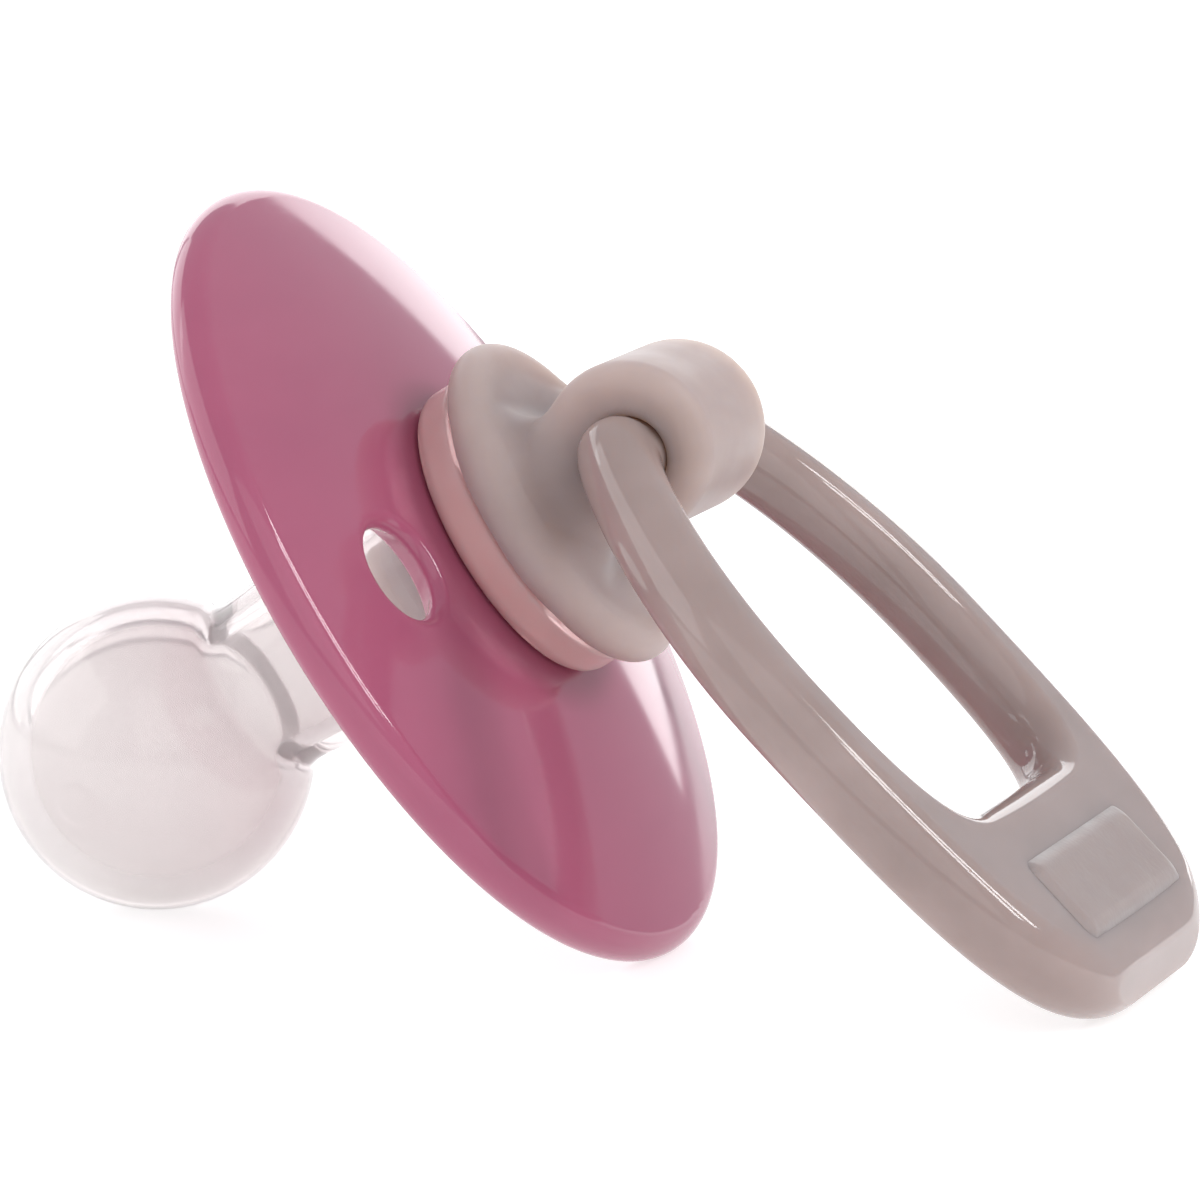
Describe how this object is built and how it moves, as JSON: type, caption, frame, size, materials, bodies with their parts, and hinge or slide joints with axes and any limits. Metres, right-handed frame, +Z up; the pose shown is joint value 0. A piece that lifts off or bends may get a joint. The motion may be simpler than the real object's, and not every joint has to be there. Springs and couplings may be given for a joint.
{
  "type": "pacifier",
  "caption": "Baby pacifier with a round domed shield, a hollow cherry-shaped silicone teat, a plug with an eye, and a flat-ended ring handle that swings in the eye.",
  "frame": {"origin": "middle of the bottom of the object's bounding box, on the table it rests on", "axes": "+X from the teat's bulb towards the free end of the ring, +Y level along the eye's axis, +Z up"},
  "size_m": [0.0588, 0.042, 0.0352],
  "materials": {
    "shield_plastic": "glossy dusty pink, moulded",
    "clear_silicone": "clear, smooth and slightly wet-looking",
    "plug_plastic": "pearl white, satin gloss, slightly translucent",
    "ring_plastic": "pearl white, polished, with a satin pad"
  },
  "bodies": {
    "soother": {"shield": "shield_plastic", "teat": "clear_silicone", "plug": "plug_plastic"},
    "ring": {"ring": "ring_plastic"}
  },
  "joints": [
    {"name": "ring_swing", "type": "hinge", "parent": "soother", "child": "ring", "pos_m": [0.00337, 0, 0.02455], "axis": [0, 1, 0], "range_deg": [-192, 38]}
  ]
}
